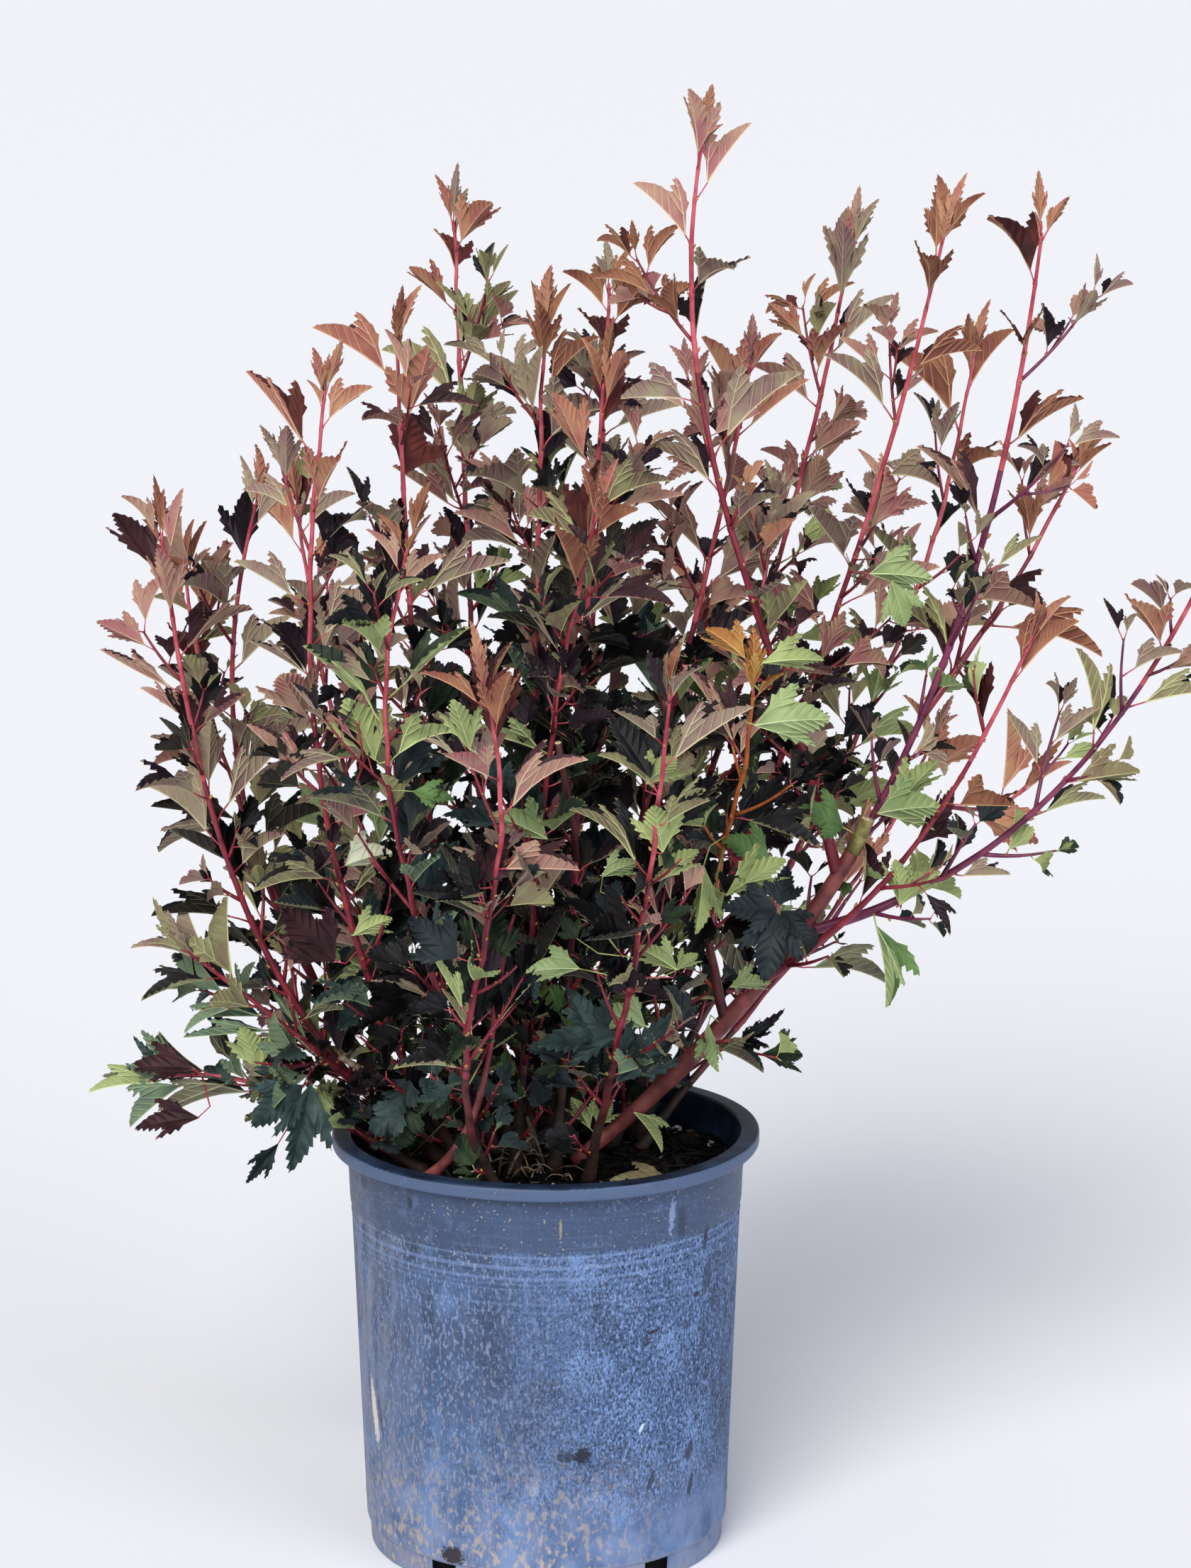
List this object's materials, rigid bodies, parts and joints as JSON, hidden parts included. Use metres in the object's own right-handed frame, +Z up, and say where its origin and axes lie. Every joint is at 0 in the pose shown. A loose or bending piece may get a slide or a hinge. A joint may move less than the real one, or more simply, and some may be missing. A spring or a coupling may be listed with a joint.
{
  "type": "ninebark shrub in a nursery pot",
  "caption": "Deciduous garden shrub with arching crimson canes and dark lobed leaves, growing in a round tapered nursery pot.",
  "frame": {"origin": "centre of the pot's flat underside, which stands on the ground", "axes": "+Z up through the pot; +X to the right and +Y to the back, seen from the front"},
  "size_m": [0.8352, 0.6965, 1.0322],
  "materials": {
    "pot_plastic": "weathered black nursery pot plastic, chalky blue-grey",
    "potting_mix": "dark moist bark mix",
    "cane_bark": "smooth crimson young bark",
    "foliage": "dark red-brown and olive leaves"
  },
  "bodies": {
    "root": {"pot": "pot_plastic", "soil": "potting_mix", "cane_right_main": "cane_bark", "cane_tall_centre": "cane_bark", "cane_right_second": "cane_bark", "cane_right_third": "cane_bark", "cane_right_long": "cane_bark", "cane_right_low": "cane_bark", "cane_right_back": "cane_bark", "cane_centre_high": "cane_bark", "cane_back_centre": "cane_bark", "cane_back_left_tall": "cane_bark", "cane_centre_left": "cane_bark", "cane_centre_front": "cane_bark", "cane_centre_low": "cane_bark", "cane_front_amber": "cane_bark", "cane_front_centre": "cane_bark", "cane_left_high": "cane_bark", "cane_left_tall": "cane_bark", "cane_left_mid": "cane_bark", "cane_left_out": "cane_bark", "cane_left_far": "cane_bark", "cane_front_left": "cane_bark", "cane_left_foot": "cane_bark", "cane_back_right_low": "cane_bark", "cane_back_low": "cane_bark", "cane_back_left": "cane_bark", "cane_pruned": "cane_bark", "leaves_right_main": "foliage", "leaves_tall_centre": "foliage", "leaves_right_second": "foliage", "leaves_right_third": "foliage", "leaves_right_outer": "foliage", "leaves_right_long": "foliage", "leaves_right_low": "foliage", "leaves_right_side": "foliage", "leaves_right_back": "foliage", "leaves_centre_high": "foliage", "leaves_back_centre": "foliage", "leaves_back_left_tall": "foliage", "leaves_centre_left": "foliage", "leaves_centre_front": "foliage", "leaves_centre_low": "foliage", "leaves_front_amber": "foliage", "leaves_front_centre": "foliage", "leaves_left_high": "foliage", "leaves_left_tall": "foliage", "leaves_left_mid": "foliage", "leaves_left_out": "foliage", "leaves_left_far": "foliage", "leaves_left_behind": "foliage", "leaves_front_left": "foliage", "leaves_left_low": "foliage", "leaves_left_foot": "foliage", "leaves_back_right_low": "foliage", "leaves_back_low": "foliage", "leaves_back_left": "foliage", "leaves_back_left_low": "foliage", "leaves_front_right_low": "foliage"}
  },
  "joints": []
}
